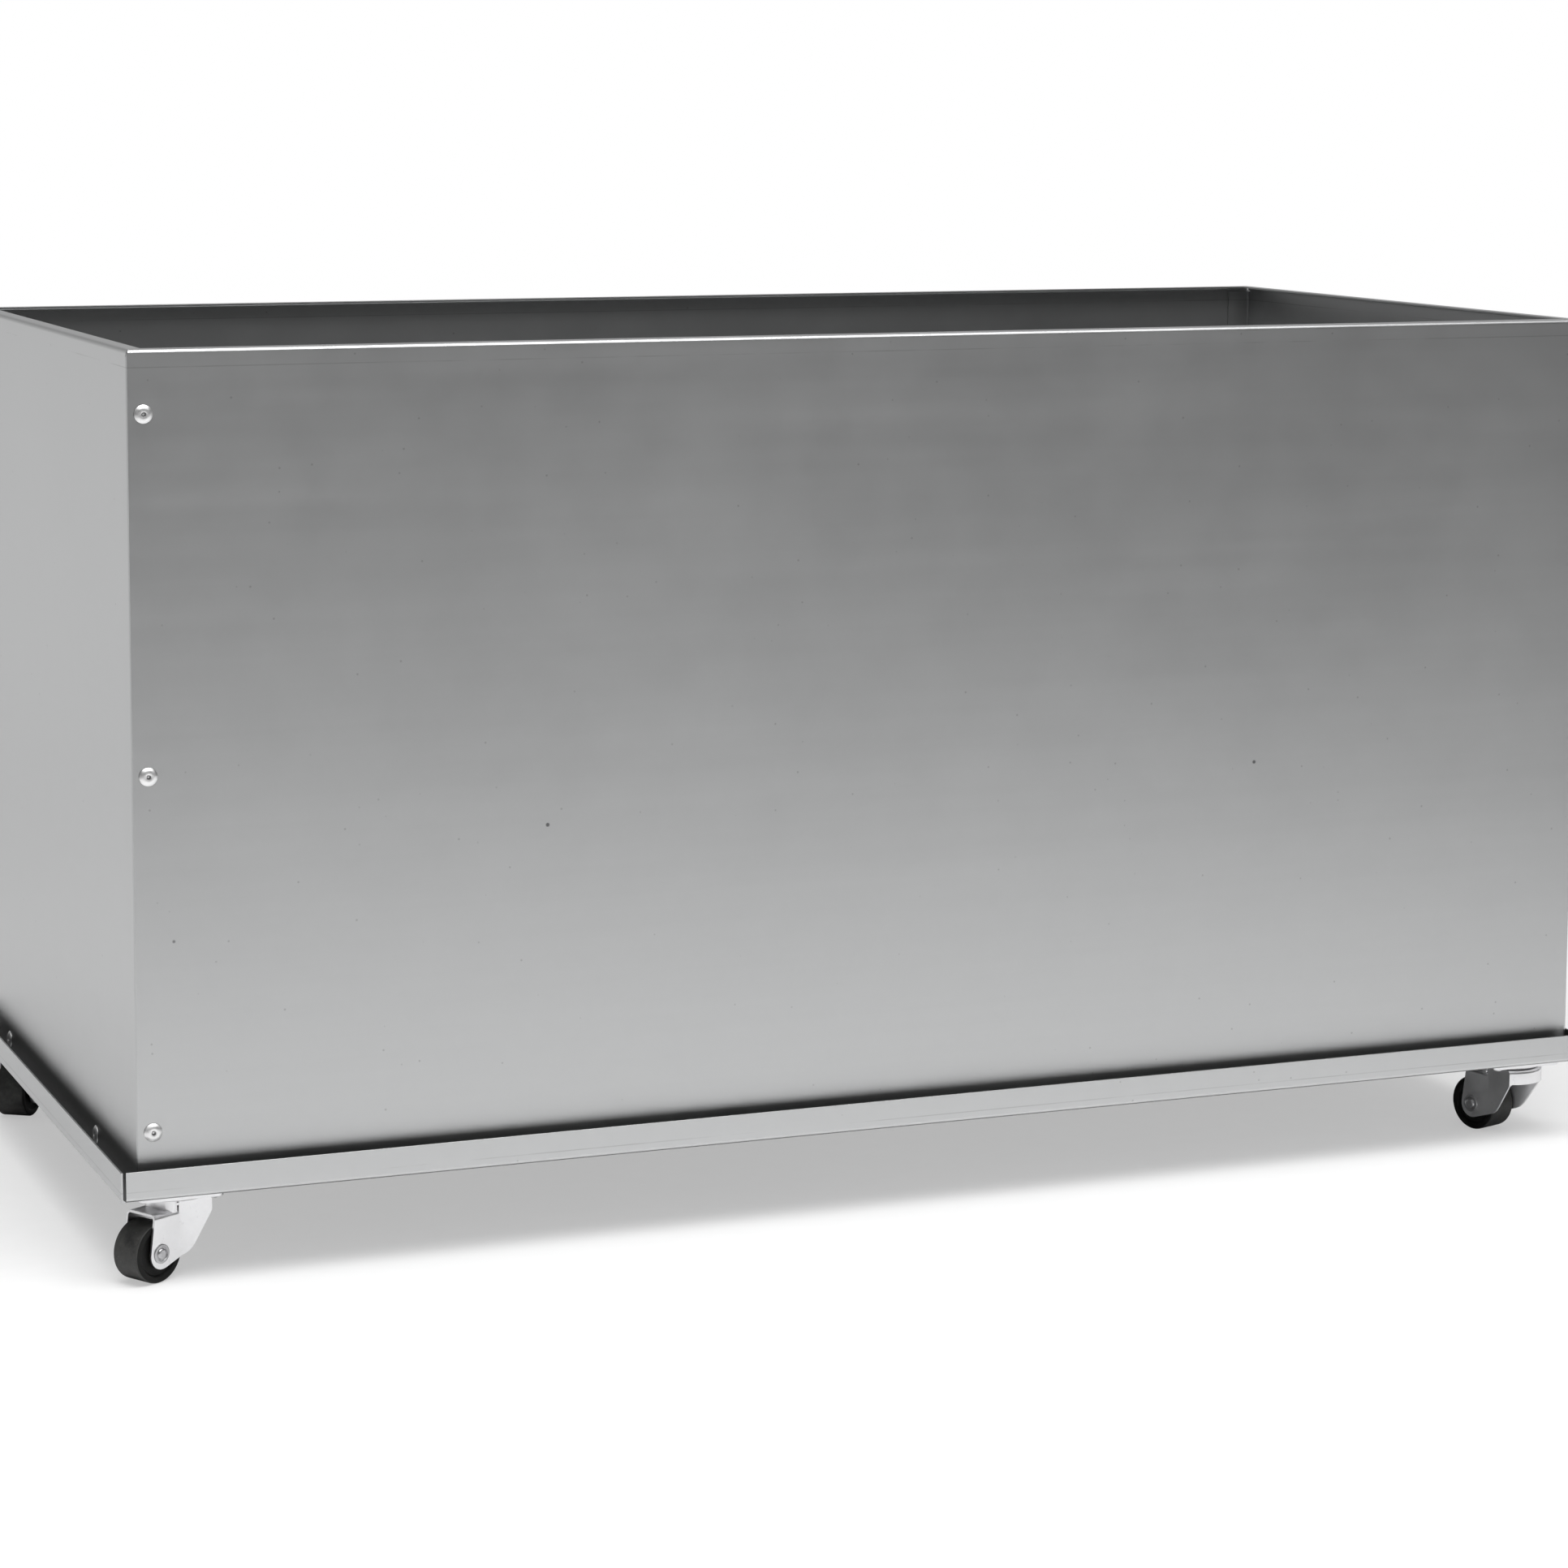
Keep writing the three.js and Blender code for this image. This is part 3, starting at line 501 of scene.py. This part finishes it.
def wheel(node, centre, axis):
    """A moulded wheel: rounded tread, raised ring, sunk face with a soft fillet, and a hub."""
    radius = half_height(node)
    half = WHEEL_HALF_WIDTH
    ring = radius - WHEEL_RING
    sunk = half - WHEEL_RECESS
    edge = (radius - WHEEL_ROUNDING, half - WHEEL_ROUNDING)
    profile = mirrored(
        [
            (radius, 0.2 * MM),
            *rounded(0, 90, edge, WHEEL_ROUNDING, 5),
            (ring + 0.3 * MM, half),
            (ring, half - 0.3 * MM),
            (ring - 0.3 * MM, sunk + 0.2 * MM),
            (ring - 0.7 * MM, sunk),
            (HUB_RADIUS + 0.4 * MM, sunk),
            (HUB_RADIUS, sunk + 0.4 * MM),
            (HUB_RADIUS, half),
            (BORE_RADIUS, half),
        ]
    )
    piece = turned(node, profile + profile[:1], centre, axis, steps=96, sharp=50.0)
    piece.data.materials.append(MATERIALS["tread"])
    for polygon in piece.data.polygons:
        spoke = polygon.center - centre
        if (spoke - axis * spoke.dot(axis)).length > radius - TREAD_SKIN:
            polygon.material_index = 1
    return piece


def axle(node, centre, axis):
    """A headed pin: a ring round a raised, slightly hollow boss at each end."""
    seat = AXLE_FACE - AXLE_HEAD_HEIGHT
    groove = AXLE_FACE - AXLE_GROOVE_DEPTH
    boss = AXLE_FACE + AXLE_BOSS_HEIGHT
    profile = mirrored(
        [
            (AXLE_SHAFT, seat),
            (AXLE_HEAD, seat),
            (AXLE_HEAD, AXLE_FACE - 0.15 * MM),
            (AXLE_HEAD - 0.3 * MM, AXLE_FACE),
            (AXLE_RING, AXLE_FACE),
            (AXLE_GROOVE_OUTER, groove),
            (AXLE_GROOVE_INNER, groove),
            (AXLE_BOSS, boss - 0.25 * MM),
            (AXLE_BOSS - 0.4 * MM, boss),
            (AXLE_BOSS - 1.4 * MM, boss - 0.05 * MM),
            (0, boss - 0.12 * MM),
        ]
    )
    return turned(node, profile, centre, axis, steps=48, sharp=40.0)


def ball_row(node):
    """The separate balls of a swivel race."""
    low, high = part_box(node)
    radius = BALL_OVERSIZE * half_height(node)
    track = (high.x - low.x) / 2 - radius
    count = int(math.pi / math.asin(min(1.0, BALL_SPACING * radius / track)))
    form = bmesh.new()
    for i in range(count):
        angle = 2 * math.pi * i / count
        place = middle(node) + Vector((track * math.cos(angle), track * math.sin(angle), 0))
        bmesh.ops.create_uvsphere(
            form, u_segments=16, v_segments=10, radius=radius, matrix=Matrix.Translation(place)
        )
    return finished(meshed(form, node), node)


def build():
    """Make the fine piece of each CAD node."""
    joints = {joint["child"]: joint for joint in frame["joints"]}
    for node, slot in SLOTS.items():
        place = middle(node)
        if "corner_rivet" in node:
            blind_rivet(node, Vector((0, math.copysign(1, place.y), 0)))
        elif "floor_rivet" in node:
            blind_rivet(node, Vector((math.copysign(1, place.x), 0, 0)))
        elif node.endswith(("_wheel", "_axle")):
            joint = joints[BODIES[node].replace("_swivel", "_roller")]
            maker = wheel if node.endswith("_wheel") else axle
            maker(node, Vector(joint["pos_m"]), Vector(joint["axis"]).normalized())
        elif node.endswith("_ball_row"):
            ball_row(node)
        else:
            eased(node, SHEET_EDGE if slot == "galvanised" else CASTER_EDGE)


# ------------------------------------------------------------------------------------------
# Floor, light and camera
# ------------------------------------------------------------------------------------------


def pale_floor():
    """A pale floor round the planter that fades out into the white background. It is mixed with
    white for the camera alone, so that the shadow stays light."""
    n = material("pale_floor")
    radial = n.tree.nodes.new("ShaderNodeVectorMath")
    radial.operation = "LENGTH"
    n.link(n.place, radial.inputs[0])
    fade = n.spread(radial.outputs["Value"], *FLOOR_FADE)
    grain = n.spread(n.noise(60.0, 3.0, 0.6), 0.3, 0.7)
    n.set(Base_Color=n.mix(grain, grey(0.88), grey(0.9)), Roughness=0.9, Specular_IOR_Level=0.1)
    white = n.tree.nodes.new("ShaderNodeEmission").outputs["Emission"]
    clear = n.tree.nodes.new("ShaderNodeBsdfTransparent").outputs["BSDF"]
    seen = n.blend(n.times(n.to_camera(), FLOOR_WHITE), n.shader.outputs["BSDF"], white)
    n.link(n.blend(fade, seen, clear), n.tree.nodes["Material Output"].inputs["Surface"])
    mesh = bpy.data.meshes.new("floor")
    half = FLOOR_HALF
    corners = [(-half, -half, 0), (half, -half, 0), (half, half, 0), (-half, half, 0)]
    mesh.from_pydata(corners, [], [(0, 1, 2, 3)])
    mesh.materials.append(n.owner)
    floor = bpy.data.objects.new("floor", mesh)
    bpy.context.scene.collection.objects.link(floor)


def surroundings():
    """White to the camera; to the light a room with a pale floor, dim walls and a bright ceiling."""
    world = bpy.data.worlds.new("studio")
    n = Nodes(world, "Generated")
    ramp = n.tree.nodes.new("ShaderNodeValToRGB")
    n.link(n.spread(n.along("Z"), -1.0, 1.0), ramp.inputs["Fac"])
    stops = ramp.color_ramp.elements
    stops[0].color = (*grey(ROOM_TONES[0][1]), 1)
    stops[1].color = (*grey(ROOM_TONES[-1][1]), 1)
    for height, tone in ROOM_TONES[1:-1]:
        stops.new((height + 1) / 2).color = (*grey(tone), 1)
    behind = n.spread(n.along("Y"), 0.0, BACKDROP_BACK, 0.0, BACKDROP_TONE)
    below = n.spread(n.along("Z"), BACKDROP_TOP, BACKDROP_FULL * BACKDROP_TOP)
    room = n.tree.nodes["Background"]
    room.inputs["Strength"].default_value = ROOM_STRENGTH
    n.link(n.math("ADD", ramp.outputs["Color"], n.times(behind, below)), room.inputs["Color"])
    white = n.tree.nodes.new("ShaderNodeBackground")
    white.inputs["Color"].default_value = (1, 1, 1, 1)
    seen = n.blend(n.to_camera(), room.outputs["Background"], white.outputs["Background"])
    n.link(seen, n.tree.nodes["World Output"].inputs["Surface"])
    bpy.context.scene.world = world


def softbox():
    """The one lamp, large and overhead."""
    light = bpy.data.lights.new("overhead", "AREA")
    light.shape = "RECTANGLE"
    light.size, light.size_y = LAMP_SIZE
    light.energy = LAMP_POWER
    lamp = bpy.data.objects.new("overhead", light)
    lamp.location = LAMP_PLACE
    lamp.rotation_euler = (LAMP_TARGET - LAMP_PLACE).to_track_quat("-Z", "Y").to_euler()
    bpy.context.scene.collection.objects.link(lamp)


def camera():
    """The photo's camera. Its turn is set from its three axes."""
    data = bpy.data.cameras.new("camera")
    data.lens = CAMERA_LENS
    data.sensor_width = CAMERA_SENSOR
    data.shift_y = CAMERA_SHIFT_Y
    data.clip_start, data.clip_end = CAMERA_RANGE
    eye = bpy.data.objects.new("camera", data)
    yaw, dip, roll = (math.radians(v) for v in (CAMERA_YAW, CAMERA_DIP, CAMERA_ROLL))
    ahead = Vector((math.sin(yaw) * math.cos(dip), math.cos(yaw) * math.cos(dip), -math.sin(dip)))
    level = Vector((math.cos(yaw), -math.sin(yaw), 0))
    up = level.cross(ahead)
    right = level * math.cos(roll) + up * math.sin(roll)
    up = right.cross(ahead)
    eye.matrix_world = Matrix((right, up, -ahead)).transposed().to_4x4()
    eye.location = CAMERA_PLACE
    bpy.context.scene.collection.objects.link(eye)
    bpy.context.scene.camera = eye


build()
pale_floor()
surroundings()
softbox()
camera()
bpy.context.scene.view_settings.view_transform = "Standard"
